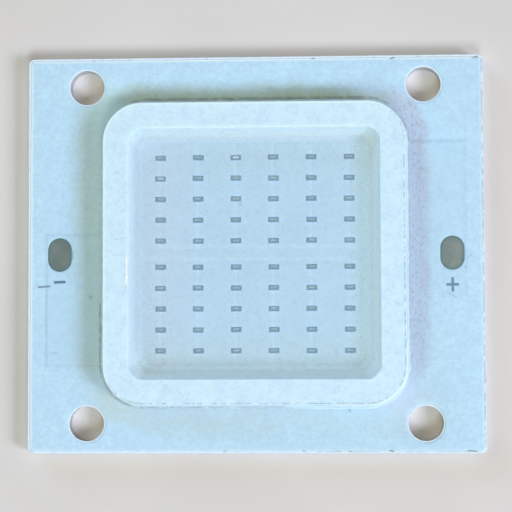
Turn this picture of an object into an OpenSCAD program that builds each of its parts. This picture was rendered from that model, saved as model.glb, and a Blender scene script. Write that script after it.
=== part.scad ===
// Flip-chip LED module on an aluminium board.
// The origin is the middle of the board's back face, and +X points to the plus pad.

/* [Board] */
// Length of the board along X
board_w = 46; // [41:0.5:60]
// Depth of the board along Y
board_d = 40; // [35:0.5:60]
// Radius of the board's corners
board_r = 0.6; // [0.3:0.1:2]
// Thickness of the aluminium core
core_t = 1.5; // [0.8:0.1:3]
// Thickness of the insulating layer on the core
insulation_t = 0.1; // [0.05:0.01:0.2]

/* [Screw holes] */
// Diameter of each screw hole
hole_d = 3.5; // [2.2:0.1:4]
// Distance from the board's ends to the hole centres, along X
hole_inset_x = 6; // [2.5:0.1:7.5]
// Distance from the board's sides to the hole centres, along Y
hole_inset_y = 3; // [2.5:0.1:4.5]
// Bare ring that the solder mask leaves round each hole
hole_ring = 0.15; // [0.05:0.05:0.4]

/* [LED dies] */
// Length of a die along X
die_l = 1.1; // [0.9:0.05:1.6]
// Width of a die along Y
die_w = 0.55; // [0.4:0.05:0.9]
// Thickness of a die's body
die_t = 0.15; // [0.1:0.01:0.3]
// How far the contact side of a die is set in from its body
mesa_inset = 0.06; // [0.02:0.01:0.1]
// Thickness of a die's contact side
mesa_t = 0.02; // [0.01:0.01:0.05]
// Gap between the solder mask and a die
die_standoff = 0.03; // [0.01:0.01:0.1]
// Margin between a solder joint and the edges of what it joins
joint_margin = 0.03; // [0.01:0.01:0.05]
// Distance from the foot of the well's wall to the outer columns of dies
die_margin_x = 1.55; // [1:0.05:3]
// Distance from the foot of the well's wall to the outer rows of dies
die_margin_y = 1.6; // [1:0.05:3]
// Distance between the inner rows of the two banks
bank_gap = 2.65; // [2.4:0.05:3.2]

/* [Copper] */
// Thickness of the copper
copper_t = 0.07; // [0.035:0.005:0.14]
// Gap between copper blocks, under each column of dies
die_gap = 0.25; // [0.15:0.01:0.3]
// Gap between the link and the copper beside it
link_gap = 0.4; // [0.2:0.05:0.5]
// Width of the link between the banks
link_w = 0.85; // [0.5:0.05:0.9]
// Copper beyond the outer row of dies
bank_end = 1.5; // [0.6:0.1:2]
// Copper beyond the outer column of dies, under the frame
block_end = 3.7; // [2.5:0.1:4]
// Copper beyond the end of a solder pad or of a printed mark
trace_end = 0.3; // [0.1:0.05:0.8]
// Copper beyond the outer side of a solder pad
trace_side = 0.15; // [0.1:0.05:0.5]

/* [Solder pads] */
// Width of a solder pad along X
pad_w = 2.4; // [1.5:0.1:3]
// Length of a solder pad along Y
pad_l = 3.4; // [3.1:0.1:5]
// Distance from the board's end to the middle of a pad
pad_inset = 3.25; // [2.2:0.05:4]
// Thickness of the solder coat on a pad
pad_coat_t = 0.02; // [0.01:0.005:0.03]

/* [Solder mask] */
// Thickness of the solder mask over copper
mask_t = 0.04; // [0.03:0.005:0.08]
// Thickness of the solder mask beside copper
mask_gap_t = 0.06; // [0.03:0.005:0.07]
// How far the raised mask reaches past the copper's edge
mask_wrap = 0.04; // [0.02:0.01:0.07]
// Bare rim that the solder mask leaves along the board's edge
mask_margin = 0.2; // [0.05:0.05:0.5]

/* [Printed marks] */
// Distance from the end of the plus pad to the middle of the plus sign below it
plus_gap = 1.48; // [1.1:0.01:3]
// Distance from the end of the minus pad to the middle of the minus sign below it
minus_gap = 1.05; // [0.6:0.01:3]
// Width of the plus sign
plus_w = 1.25; // [0.8:0.05:2]
// Height of the plus sign
plus_h = 1.45; // [0.8:0.05:2]
// Length of the minus sign
minus_w = 1.2; // [0.8:0.05:2]
// Width of the marks' strokes
mark_stroke = 0.26; // [0.15:0.01:0.4]
// Thickness of the ink
ink_t = 0.015; // [0.01:0.005:0.03]

/* [Frame] */
// Outer width of the frame at its foot
frame_w = 30.6; // [24:0.1:32.4]
// How far each outer wall leans in from its foot to the chamfer at its top
frame_draft = 0.19; // [0.05:0.01:0.5]
// Radius of the frame's outer corners at the foot of that chamfer
frame_r = 3.9; // [1.5:0.1:5]
// Height of the frame
frame_h = 2; // [1.5:0.1:4]
// Chamfer along the frame's top edges
frame_edge = 0.12; // [0.05:0.01:0.25]
// Width of the frame's wall at its top, chamfers included
frame_wall = 2.56; // [1:0.01:3]
// How far each wall of the well leans out from its foot to its top
well_lean = 0.95; // [0.3:0.05:1.5]
// Leg of the cut across each corner of the well
well_cut = 1.05; // [0.4:0.05:1.5]

/* [Adhesive] */
// Thickness of the adhesive under the frame
glue_t = 0.08; // [0.03:0.01:0.2]
// How far the adhesive bead reaches out from the frame's foot
glue_spread = 0.3; // [0.1:0.05:0.5]
// How far the adhesive bead climbs the frame's outer wall
glue_rise = 0.25; // [0.1:0.05:0.8]
// How far the bead's upper edge stands out from the frame's foot
glue_lip = 0.03; // [0.01:0.01:0.08]

/* [Fill] */
// Distance from the frame's top down to the clear fill
fill_drop = 0.3; // [0.2:0.05:0.9]

/* [Hidden] */
$fn = 96;
columns = 6;
bank_rows = 5;

// Heights of the layers
copper_z = core_t + insulation_t;
copper_top = copper_z + copper_t;
mask_top = copper_top + mask_t;
die_z = mask_top + die_standoff;
frame_z = mask_top + glue_t;
frame_top = frame_z + frame_h;
fill_top = frame_top - fill_drop;

// Places of the screw holes
hole_x = board_w / 2 - hole_inset_x;
hole_y = board_d / 2 - hole_inset_y;

// Width of the well at the top and at the foot of the frame
well_top = frame_w - 2 * (frame_draft + frame_wall);
well_floor = well_top - 2 * well_lean;

// Places of the dies, counted from the left and from the top
column_pitch = (well_floor - 2 * die_margin_x - die_l) / (columns - 1);
row_pitch = ((well_floor - bank_gap - die_w) / 2 - die_margin_y) / (bank_rows - 1);
function column_x(i) = (i - (columns - 1) / 2) * column_pitch;
function row_y(r) =
    r < bank_rows ? bank_gap / 2 + (bank_rows - 1 - r) * row_pitch : -row_y(2 * bank_rows - 1 - r);

// Solder joints under a die
mesa_l = die_l - 2 * mesa_inset;
mesa_w = die_w - 2 * mesa_inset;
joint_l = (mesa_l - die_gap) / 2 - 2 * joint_margin;
joint_w = mesa_w - 2 * joint_margin;
joint_x = die_gap / 2 + joint_margin + joint_l / 2;

// Edges of the copper
pad_x = board_w / 2 - pad_inset;
plus_y = -pad_l / 2 - plus_gap;
minus_y = -pad_l / 2 - minus_gap;
end_x = column_x(columns - 1) + die_gap / 2;
bank_y0 = link_w / 2 + link_gap;
bank_y1 = row_y(0) + bank_end;
block_x = column_x(columns - 1) + block_end;
trace_x = pad_x + pad_w / 2 + trace_side;
flag_x = block_x + link_gap;
plus_tail = plus_h / 2 - plus_y + trace_end;
minus_tail = pad_l / 2 + trace_end;

// Each copper piece as rectangles, from low corner to high corner
plus_rects = [
    [[end_x, bank_y0], [trace_x, bank_y1]],
    [[flag_x, -plus_tail], [trace_x, bank_y1]]
];
minus_rects = [
    [[-trace_x, -bank_y1], [-end_x, -bank_y0]],
    [[-trace_x, -bank_y1], [-flag_x, minus_tail]]
];
link_rects = [
    [[-block_x, -link_w / 2], [block_x, link_w / 2]],
    [[-block_x, -link_w / 2], [-end_x, bank_y1]],
    [[end_x, -bank_y1], [block_x, link_w / 2]]
];
function block_rects(i, y0, y1) =
    [[[column_x(i - 1) + die_gap / 2, y0], [column_x(i) - die_gap / 2, y1]]];
function upper_rects(i) = block_rects(i, bank_y0, bank_y1);
function lower_rects(i) = block_rects(i, -bank_y1, -bank_y0);

// Width of the well at a height above the frame's foot
function well_w(h) = well_floor + 2 * well_lean * h / frame_h;
// Width of the frame at the foot of its chamfer
frame_top_w = frame_w - 2 * frame_draft;
// Distance from the middle to the axis of each of the frame's corners, along X and Y
frame_corner = frame_top_w / 2 - frame_r;

blocks = [1 : columns - 1];
rows = [1 : 2 * bank_rows];
function two_digits(n) = str(n < 10 ? "0" : "", n);

// A plate with round corners, standing on z = 0
module round_plate(w, d, r, h) {
    linear_extrude(h) {
        square([w - 2 * r, d], center = true);
        square([w, d - 2 * r], center = true);
        for (x = [-1, 1], y = [-1, 1])
            translate([x * (w / 2 - r), y * (d / 2 - r)])
                circle(r);
    }
}

// A bar along Y with a profile, which is a list of [height, width] pairs from the bottom up
module profile_bar(profile, length) {
    right = [for (p = profile) [p[1] / 2, p[0]]];
    left = [for (i = [len(profile) - 1 : -1 : 0]) [-profile[i][1] / 2, profile[i][0]]];
    rotate([90, 0, 0])
        linear_extrude(length, center = true)
            polygon(concat(right, left));
}

// A square block with a profile on every side, and corners that are round about the frame's corner axes
module round_block(profile) {
    turned = [for (p = profile) [p[1] / 2 - frame_corner, p[0]]];
    axis = [[0, profile[len(profile) - 1][0]], [0, profile[0][0]]];
    for (a = [0, 90])
        rotate(a)
            profile_bar(profile, 2 * frame_corner);
    for (x = [-1, 1], y = [-1, 1])
        translate([x * frame_corner, y * frame_corner])
            rotate_extrude()
                polygon(concat(turned, axis));
}

// A square block with a profile on every side, and corners that are cut across
module cut_block(profile) {
    across = [for (p = profile) [p[0], (p[1] - well_cut) * sqrt(2)]];
    long = 2 * frame_w;
    intersection() {
        profile_bar(profile, long);
        rotate(90)
            profile_bar(profile, long);
        rotate(45)
            profile_bar(across, long);
        rotate(135)
            profile_bar(across, long);
    }
}

// An upright pin through the board at each screw hole
module hole_pins(d) {
    for (x = [-1, 1], y = [-1, 1])
        translate([x * hole_x, y * hole_y, -core_t])
            cylinder(h = core_t + frame_top, d = d);
}

// A plate made of rectangles, each grown on every side
module rect_plate(rects, h, grow = 0) {
    linear_extrude(h)
        for (r = rects)
            translate(r[0] - [grow, grow])
                square(r[1] - r[0] + 2 * [grow, grow]);
}

// All of the copper as one plate, grown on every side
module copper_plate(h, grow = 0) {
    rect_plate(plus_rects, h, grow);
    rect_plate(minus_rects, h, grow);
    rect_plate(link_rects, h, grow);
    for (i = blocks) {
        rect_plate(upper_rects(i), h, grow);
        rect_plate(lower_rects(i), h, grow);
    }
}

// The outline of a solder pad, with half-round ends
module pad_plate(x, h) {
    translate([x, 0])
        linear_extrude(h) {
            square([pad_w, pad_l - pad_w], center = true);
            for (y = [-1, 1])
                translate([0, y * (pad_l - pad_w) / 2])
                    circle(d = pad_w);
        }
}

// The two joints under each die of a row
module row_joints(r, h) {
    for (i = [0 : columns - 1], s = [-1, 1])
        translate([column_x(i) + s * joint_x - joint_l / 2, row_y(r - 1) - joint_w / 2])
            cube([joint_l, joint_w, h]);
}

// The space that the solder mask and the copper under it take up
module mask_body() {
    difference() {
        translate([0, 0, copper_z]) {
            round_plate(
                board_w - 2 * mask_margin,
                board_d - 2 * mask_margin,
                max(board_r - mask_margin, board_r / 4),
                mask_gap_t
            );
            copper_plate(copper_t + mask_t, mask_wrap);
        }
        hole_pins(hole_d + 2 * hole_ring);
    }
}

module core_plate() {
    color("gainsboro")
        difference() {
            round_plate(board_w, board_d, board_r, core_t);
            hole_pins(hole_d);
        }
}

module insulation() {
    color("lavender")
        difference() {
            translate([0, 0, core_t])
                round_plate(board_w, board_d, board_r, insulation_t);
            hole_pins(hole_d);
        }
}

module trace(rects) {
    color("peru")
        translate([0, 0, copper_z])
            rect_plate(rects, copper_t);
}

module solder_mask() {
    color("lightblue")
        difference() {
            mask_body();
            translate([0, 0, copper_z])
                copper_plate(copper_t);
            translate([0, 0, copper_z]) {
                pad_plate(pad_x, frame_top);
                pad_plate(-pad_x, frame_top);
                for (r = rows)
                    row_joints(r, frame_top);
            }
        }
}

module solder_pad(x) {
    color("slategray")
        translate([0, 0, copper_top])
            pad_plate(x, pad_coat_t);
}

// A printed bar, centred on a point of the mask
module ink_bar(centre, w, h) {
    translate([centre.x - w / 2, centre.y - h / 2, mask_top])
        cube([w, h, ink_t]);
}

module plus_mark() {
    color("lightslategray")
        union() {
            ink_bar([pad_x, plus_y], plus_w, mark_stroke);
            ink_bar([pad_x, plus_y], mark_stroke, plus_h);
        }
}

module minus_mark() {
    color("lightslategray")
        ink_bar([-pad_x, minus_y], minus_w, mark_stroke);
}

// The frame's outer form, with a chamfer along its top edge
module frame_block() {
    translate([0, 0, frame_z])
        round_block([
            [0, frame_w],
            [frame_h - frame_edge, frame_top_w],
            [frame_h, frame_top_w - 2 * frame_edge]
        ]);
}

module frame() {
    edge_h = frame_h - frame_edge;
    mouth_w = well_top + 2 * frame_edge;
    color("aliceblue")
        difference() {
            frame_block();
            translate([0, 0, frame_z])
                cut_block([
                    [-glue_t, well_floor],
                    [0, well_floor],
                    [edge_h, well_w(edge_h)],
                    [frame_h, mouth_w],
                    [frame_h + frame_edge, mouth_w]
                ]);
        }
}

module frame_adhesive() {
    bead_w = frame_w + 2 * glue_spread;
    bead_top_w = frame_w + 2 * glue_lip;
    color("azure")
        difference() {
            round_block([
                [copper_z, bead_w],
                [mask_top, bead_w],
                [frame_z + glue_rise, bead_top_w]
            ]);
            mask_body();
            frame_block();
            cut_block([
                [core_t, well_floor],
                [frame_top, well_floor]
            ]);
        }
}

// One die: a body on a slightly smaller contact side
module die(x, y) {
    translate([x - mesa_l / 2, y - mesa_w / 2, die_z])
        cube([mesa_l, mesa_w, mesa_t + die_t]);
    translate([x - die_l / 2, y - die_w / 2, die_z + mesa_t])
        cube([die_l, die_w, die_t]);
}

module die_row(r) {
    color("cadetblue")
        for (i = [0 : columns - 1])
            die(column_x(i), row_y(r - 1));
}

module solder_row(r) {
    color("silver")
        translate([0, 0, copper_top])
            row_joints(r, die_z - copper_top);
}

module encapsulant() {
    color("lightcyan", 0.4)
        difference() {
            cut_block([
                [copper_z, well_floor],
                [frame_z, well_floor],
                [fill_top, well_w(fill_top - frame_z)]
            ]);
            mask_body();
            for (r = rows) {
                die_row(r);
                translate([0, 0, copper_top])
                    row_joints(r, die_z + mesa_t - copper_top);
            }
        }
}

core_plate();
insulation();
trace(plus_rects);  // plus_trace
trace(minus_rects);  // minus_trace
trace(link_rects);  // link_trace
for (i = blocks) {
    trace(upper_rects(i));
    trace(lower_rects(i));
}
solder_mask();
solder_pad(pad_x);  // plus_pad
solder_pad(-pad_x);  // minus_pad
plus_mark();
minus_mark();
frame_adhesive();
frame();
encapsulant();
for (r = rows) {
    die_row(r);
    solder_row(r);
}
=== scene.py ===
import random
from math import copysign, cos, exp, hypot, pi, radians, sin

import bmesh
import bpy
import numpy as np
from mathutils import Matrix, Vector, noise
from mathutils.geometry import delaunay_2d_cdt


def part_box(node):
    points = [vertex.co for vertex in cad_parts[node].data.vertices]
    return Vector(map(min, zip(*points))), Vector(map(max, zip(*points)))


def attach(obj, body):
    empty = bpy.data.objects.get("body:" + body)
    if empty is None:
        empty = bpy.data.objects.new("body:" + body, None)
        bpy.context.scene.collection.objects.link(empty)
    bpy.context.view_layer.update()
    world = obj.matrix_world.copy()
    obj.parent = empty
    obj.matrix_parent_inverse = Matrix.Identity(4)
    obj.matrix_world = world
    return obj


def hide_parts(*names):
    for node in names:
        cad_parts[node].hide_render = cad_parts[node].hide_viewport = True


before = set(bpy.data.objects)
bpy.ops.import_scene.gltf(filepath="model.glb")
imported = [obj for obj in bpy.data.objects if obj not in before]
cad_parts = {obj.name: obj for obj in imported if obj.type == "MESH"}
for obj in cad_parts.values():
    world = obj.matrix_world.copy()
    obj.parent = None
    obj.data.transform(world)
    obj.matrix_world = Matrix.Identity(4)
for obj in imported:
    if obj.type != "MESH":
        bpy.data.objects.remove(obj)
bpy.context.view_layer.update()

MM = 0.001


def span(node):
    """Lowest and highest corner of a CAD node, in millimetres."""
    low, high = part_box(node)
    return np.array(low) / MM, np.array(high) / MM


def corner_arc(cx, cy, radius, start, end):
    """Points round one of the frame's corners, every 15 degrees."""
    angles = [radians(a) for a in range(start, end + 1, 15)]
    x, y = cx * FRAME_CORNER, cy * FRAME_CORNER
    return [(x + radius * cos(a), y + radius * sin(a)) for a in angles]


def chain(points, half):
    """Strokes from point to point."""
    return [(*a, *b, half) for a, b in zip(points, points[1:])]


# Lengths and places are in millimetres, up to the stage. Layers of noise are given as amount, scale and seed

# Board: a metal core with an insulating layer on it
BOARD_W, BOARD_D, CORE_TOP = span("core_plate")[1] * (2, 2, 1)
BOARD_R = 0.6
CORE_BEVEL = 0.06
BASE_TOP = span("insulation")[1][2]
BASE_BEVEL, BASE_BEVEL_T = 0.035, 0.03
BASE_WAVE, BASE_SEED, WAVE_SCALE = 0.05, 3.0, 1.3
HOLE_X, HOLE_Y, HOLE_R = 17.0, 17.0, 1.75
HOLES = [(x * HOLE_X, y * HOLE_Y) for x in (-1, 1) for y in (-1, 1)]

# Solder mask. Each of its rims is an inset from the edge and a drop below the full height
MASK_TOP = span("solder_mask")[1][2]
MASK_LOW = BASE_TOP + 0.06
MASK_MARGIN = 0.2
MASK_WAVE, MASK_SEED = 0.06, 8.0
MASK_EDGE_T = 0.035
MASK_RIMS = ((0.1, 0.02), (0.2, 0.01))
MASK_INNER_RIM, MASK_INNER_WAVE = 0.36, 0.03
MASK_LIP, MASK_LIP_DROP = 0.06, 0.025
MASK_SOFTNESS, BORDER_SOFTNESS = 0.14, 0.3
HOLE_RING = 0.15
GRID_STEP, GRID_GAP, GRID_MARGIN = 0.6, 0.03, 0.7
GRID_AT_EDGES = (-2.1, -1.1, -0.6, 0, 0.6, 1.1, 2.1)

# Copper under the mask, as rectangles from a low to a high corner
COPPER_NODES = [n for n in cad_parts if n.endswith("_trace") or "_block_" in n]
BANK_NEAR, BANK_FAR = 0.825, 11.225
END_BLOCK_X, LINK_X, LINK_HALF = 9.625, 13.2, 0.425
TRACE_NEAR, TRACE_FAR = 13.6, 21.1
PLUS_LOW, MINUS_HIGH = span("plus_trace")[0][1], 2.0
COPPER_RECTS = [
    (END_BLOCK_X, BANK_NEAR, TRACE_FAR, BANK_FAR),
    (TRACE_NEAR, PLUS_LOW, TRACE_FAR, BANK_FAR),
    (-TRACE_FAR, -BANK_FAR, -END_BLOCK_X, -BANK_NEAR),
    (-TRACE_FAR, -BANK_FAR, -TRACE_NEAR, MINUS_HIGH),
    (-LINK_X, -LINK_HALF, LINK_X, LINK_HALF),
    (-LINK_X, -LINK_HALF, -END_BLOCK_X, BANK_FAR),
    (END_BLOCK_X, -BANK_FAR, LINK_X, LINK_HALF),
]
COPPER_RECTS += [(*span(n)[0][:2], *span(n)[1][:2]) for n in COPPER_NODES if "_block_" in n]

# Solder pads, each ring with an inset and a drop below the top, and printed marks
PAD_X, PAD_W, PAD_L = 19.75, 2.4, 3.4
PAD_TOP = span("plus_pad")[1][2]
PAD_FOOT, PAD_EDGE, PAD_ROUGH, PAD_SCALE = 0.02, 0.2, 0.003, 2.0
PAD_RINGS = (
    (0, 0.015), (0.03, 0.006), (0.09, 0.002), (0.15, 0.001),
    (0.25, 0), (0.4, -0.003), (0.75, -0.006), (1.1, -0.006),
)
MARK_STROKE, MINUS_TILT = 0.26, 0.02
STRAY_STROKE = (-22.0, -3.24, -20.72, -3.16, 0.19)
INK_T, INK_SUNK, INK_STEP = 0.015, 0.02, 0.06
INK_ROUGH, INK_SCALE, INK_SEEDS = 0.012, 5, (1.5, 7.5)

# Frame, with its painted edge highlights and its line of dark dashes by their shares of the way across the
# top
FRAME_FOOT, FRAME_SHOULDER, FRAME_CORNER = 15.3, 15.11, 11.21
FRAME_Z, FRAME_TOP = span("frame")[0][2], span("frame")[1][2]
FRAME_EDGE, FRAME_SAG = 0.07, 0.012
FRAME_RAGGED, FRAME_WARP = ((0.018, 1.1, 4.0), (0.01, 3.7, 5.0)), ((0.012, 0.3, 6.0),)
RIM_T, DIRT_T, DIRT_HALF_T = 0.1, 0.05, 0.035
WELL_TOP, WELL_FLOOR, WELL_CUT = 12.55, 11.6, 1.05
WELL_SLOPE = (WELL_TOP - WELL_FLOOR) / (FRAME_TOP - FRAME_Z)
WELL_ROUND, WELL_BULGE = 0.07, 0.07

# Adhesive under the frame, and what it squeezes up inside the well
GLUE_FOOT, GLUE_RUN, GLUE_CURVE = 15.6, 0.25, 2.2
GLUE_TOP = span("frame_adhesive")[1][2]
GLUE_TOE, GLUE_TOE_T = 0.02, 0.015
GLUE_UNDER, GLUE_SEAT = 0.08, 0.01
GLUE_SPREAD, GLUE_DRAWN_IN = ((0.06, 0.8, 2.0), (0.02, 2.6, 3.0)), 0.04
FILLET_UP, FILLET_OUT, FILLET_BEHIND = 0.5, 0.55, 0.05

# Clear fill
FILL_TOP = span("encapsulant")[1][2]
FILL_SEAT = 0.02
FILL_HAZE, FILL_THIN_HAZE, FILL_IOR = 0.37, 0.4, 1.41
FILL_INSETS = (0.03, 0.08, 0.15, 0.25, 0.4, 0.6, 0.9, 2, 5, 8, 11)
MENISCUS, MENISCUS_REACH = 0.24, 0.3
LIGHT_BEND = 1.2

# Dies. Those with a painted highlight in their window are given by row and column
DIE_L, DIE_W, DIE_CUT = 1.1, 0.55, 0.025
DIE_Z, DIE_TOP = span("die_row_01")[0][2], span("die_row_01")[1][2]
DIE_BEVEL = 0.012
MESA_INSET, MESA_T = 0.06, 0.02
WINDOW, WINDOW_Y, WINDOW_SINK, WINDOW_SLOPE = (0.64, 0.22), 0.035, 0.012, 0.03
COLUMN_X = [-9.5, -5.7, -1.9, 1.9, 5.7, 9.5]
DIE_ROWS = [f"die_row_{r:02d}" for r in range(1, 11)]
ROW_Y = [sum(corner[1] for corner in span(row)) / 2 for row in DIE_ROWS]
DIE_TURN, DIE_SHIFT_X, DIE_SHIFT_Y, DIE_TONE = 1.4, 0.025, 0.02, 0.1
BRIGHT_DIES = {(0, 2): 0.85, (1, 0): 0.6}

# Wear on the mask, and painted shade, shadow and light on it. Each reach and fade counts outward from the
# foot of the adhesive
WEAR_EDGE = ((0.35, 0.5, 9.0), (0.15, 1.7, 9.5))
WEAR_RADIUS = 2.2
UNDER_BEAD = 0.6
# Dusting at the right of the frame and below it, with the frame's weak shadow painted into it
DUST_REACH, DUST_RIGHT, DUST_FAR, DUST_DOWN = 0.5, 1.48, 0.6, 1.2
DUST_FADE, DUST_LEAST, DUST_BELOW, DUST_EXTRA = 0.9, 0.2, 0.22, 0.12
DUST_CORNER, DUST_STRETCH = (14.3, 14.3), (1, 0.6, 1)
HAZE_REACH, HAZE_FADE, HAZE_SHARE = 2.7, 1.2, 0.38
# Yellow staining on the left and upper sides with the frame's shadow painted into it, and painted shade low
# in the well
STAIN_REACH, STAIN_FADE, STAIN_EDGE = 3.7, 2.6, 1.6
STAIN_SHARE, STAIN_UPPER, STAIN_WELL = 0.62, 0.5, 0.36
STAIN_GAP, STAIN_GAP_SHARE = (-14.6, 15), 0.55
# Painted shade of the frame, and a band of painted shade close to its upper side
FILM_SHARE, FILM_REACH, FILM_FADE = 0.06, 5.2, 2
BAND_AT, BAND_W, BAND_SHARE, BAND_EXTRA = 0.88, 0.5, 0.07, 0.24
GRIME_REACH, GRIME_FADE = 3.2, 1.8
GRIME_CORNER, GRIME_EXTRA = (-14.2, -14.8), 1.1
CLEAN_CORNER, CLEAN_SHARE = (14.6, -14.6), 0.2
# Painted light at the frame's upper left corner
PALE_CORNER, PALE_SHARE = (-14.9, 15.2), 1.5

# Breaks along the board's long edges: place along X, side, length, depth
CHIPS = [
    (5.9, 1, 0.35, 0.12), (13.9, 1, 0.4, 0.2), (22.2, 1, 0.5, 0.2),
    (4.8, -1, 0.3, 0.12), (8.3, -1, 0.35, 0.1), (9.4, -1, 0.3, 0.14),
    (13.5, -1, 0.4, 0.22), (21.5, -1, 0.9, 0.2), (-16.4, 1, 0.3, 0.08), (-3.1, -1, 0.4, 0.08),
]

# Spots, as x, y, radius, and strokes, as x0, y0, x1, y1, half width
MASK_SPOTS = [
    (-16.6, -4.3, 0.3), (-1.5, 5.0, 0.25), (0.2, 4.2, 0.2), (5.1, 2.5, 0.16),
    (7.0, 9.6, 0.14), (3.9, -4.9, 0.14), (2.6, -0.2, 0.14), (-7.6, -7.9, 0.14),
    (15.9, 12.9, 0.2), (9.4, -15.7, 0.22), (21.1, -1.46, 0.14),
]
MASK_SCRATCHES = [
    (19.2, -3.95, 20.1, -4.5, 0.16), (-11.5, 5.0, -11.3, 5.6, 0.07), (-20.5, -9.9, -20.0, -9.95, 0.2),
    (21.2, -0.6, 21.7, -0.1, 0.14), (8.05, -9.8, 8.25, -10.35, 0.2),
]
# Dark dashes along the right and lower edges: painted shade in the gap at the mask's edge, with some grime
SEAM_LINES = [(22.84, -19.3, 22.84, 19.5, 0.11), (6, -19.8, 22.4, -19.8, 0.06)]
# A dark line along the frame's foot: grime at the lower left corner, and painted shade where the frame meets
# the mask on the upper side
FOOT_LINE = chain([(-15.64, -5.0)] + corner_arc(-1, -1, 4.43, 180, 195), 0.17)
FOOT_LINE += chain(corner_arc(-1, -1, 4.36, 195, 240), 0.1)
FOOT_LINE += chain(corner_arc(1, 1, 4.44, 75, 90) + corner_arc(-1, 1, 4.44, 90, 90), 0.32)
FOOT_LINE += chain(corner_arc(1, 1, 4.42, 60, 75), 0.2)
FOOT_LINE += chain(corner_arc(-1, 1, 4.46, 90, 105), 0.12)
BEAD_LINE = chain(corner_arc(-1, -1, 4.16, 180, 255), 0.13)
BEAD_LINE += [(-11.5, -15.34, -5.5, -15.34, 0.13), (-5.5, -15.32, 3.0, -15.32, 0.06)]
EDGE_SHINE = chain([(7.5, -15.12)] + corner_arc(1, -1, 3.91, 270, 360) + [(15.12, -9.0)], 0.1)
FRAME_SPOTS = [(-8.8, -13.2, 0.32), (-12.8, -3.3, 0.22), (11.2, 13.2, 0.16)]
FRAME_SCRATCHES = [
    (12.8, -4.5, 14.7, -5.3, 0.08), (-14.0, 1.4, -12.9, 1.6, 0.08), (-14.1, -0.2, -13.0, -0.1, 0.08),
]
GLINTS = [(15.05, 11.8, 0.17), (15.05, 9.9, 0.1), (15.05, 8.6, 0.08), (-12.7, -2.4, 0.15)]
GLINT_LINES = [(-12.72, -0.4, -12.72, -3.0, 0.07)]

# How finely outlines are divided
SIDE_POINTS, CORNER_POINTS, CIRCLE_POINTS, PAD_END_POINTS = 64, 20, 72, 28
OUTLINE_STEP = 0.25

# Stage: lamps by direction, size in metres, and the share of full light that they give in each colour
AMBIENT, BACKGROUND = (0.115, 0.085, 0.05), (0.74, 0.73, 0.72)
FLOOR_HALF, FLOOR_COLOURS = 1.5, ((214, 211, 208), (219, 216, 213))
LAMP_DISTANCE = 1.0
LAMPS = {
    "key": ((1.32, -0.55, 1.0), (0.34, 0.34), (0.325, 0.335, 0.41)),
    "low": ((0.15, -0.88, 1.0), (0.4, 0.34), (0.26, 0.29, 0.3)),
    "top": ((0.0, 0.1, 1.0), (0.6, 0.6), (0.12, 0.11, 0.08)),
    "fill": ((-1.0, 0.4, 1.1), (0.52, 0.52), (0.12, 0.105, 0.05)),
    "back": ((-0.66, 0.76, 0.36), (0.5, 0.3), (0.068, 0.102, 0.16)),
}
CAMERA_TARGET, CAMERA_FROM = (0.1 * MM, -0.22 * MM, MASK_LOW * MM), (0.048, -0.055, 1.0)
CAMERA_DISTANCE, CAMERA_WIDTH, CAMERA_ROLL, CAMERA_SENSOR = 0.16, 0.05147, -0.21, 36


# Shares and noise

def smooth(t):
    t = np.clip(t, 0, 1)
    return t * t * (3 - 2 * t)


def ramp(value, start, end):
    """A smooth rise from 0 at the start to 1 at the end."""
    return smooth((value - start) / (end - start))


def wobble(x, y, scale, seed):
    """Smooth noise from -1 to 1, with a grain of about 1 / scale millimetres."""
    return noise.noise(Vector((x * scale, y * scale, seed)))


def uneven(x, y, layers):
    """Noise in layers, each with its amount, scale and seed."""
    return sum(amount * wobble(x, y, scale, seed) for amount, scale, seed in layers)


def copper_cover(x, y, softness=MASK_SOFTNESS):
    """How far a place is over copper, from 0 to 1, softly at the edges."""
    best = np.zeros(np.shape(x))
    for x0, y0, x1, y1 in COPPER_RECTS:
        edge = np.minimum(np.minimum(x - x0, x1 - x), np.minimum(y - y0, y1 - y))
        best = np.maximum(best, smooth(edge / (2 * softness) + 0.5))
    return best


def mask_height(x, y):
    return MASK_LOW + (MASK_TOP - MASK_LOW) * copper_cover(x, y)


def frame_distance(x, y):
    """Distance from the foot of the adhesive, negative under the frame."""
    qx, qy = np.abs(x) - FRAME_CORNER, np.abs(y) - FRAME_CORNER
    outside = np.hypot(np.maximum(qx, 0), np.maximum(qy, 0))
    return outside + np.minimum(np.maximum(qx, qy), 0) - (GLUE_FOOT - FRAME_CORNER)


# Outlines, each an array of points in the XY plane

def turned(quarter):
    """A closed outline from its right side and upper right corner, turned four times."""
    x, y = np.array(quarter).T
    return np.vstack([np.column_stack(p) for p in ((x, y), (-y, x), (-x, -y), (y, -x))])


def side_points(half, reach):
    return [(half, y) for y in np.linspace(-reach, reach, SIDE_POINTS, endpoint=False)]


def round_square(half):
    """A square with round corners."""
    r = half - FRAME_CORNER
    angles = np.linspace(0, pi / 2, CORNER_POINTS, endpoint=False)
    corner = [(FRAME_CORNER + r * cos(a), FRAME_CORNER + r * sin(a)) for a in angles]
    return turned(side_points(half, FRAME_CORNER) + corner)


def cut_square(half):
    """A square with corners cut across and slightly rounded."""
    reach = half - WELL_CUT
    corner = []
    for t in np.linspace(0, 1, CORNER_POINTS, endpoint=False):
        out = WELL_BULGE * sin(pi * t)
        corner.append((half - WELL_CUT * t + out, reach + WELL_CUT * t + out))
    return turned(side_points(half, reach) + corner)


def divided(corners, step):
    """A closed outline through its corners, with more points along its sides."""
    outline = []
    for a, b in zip(corners, np.roll(corners, -1, axis=0)):
        parts = max(1, round(np.linalg.norm(b - a) / step))
        outline += [a + (b - a) * i / parts for i in range(parts)]
    return np.array(outline)


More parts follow.
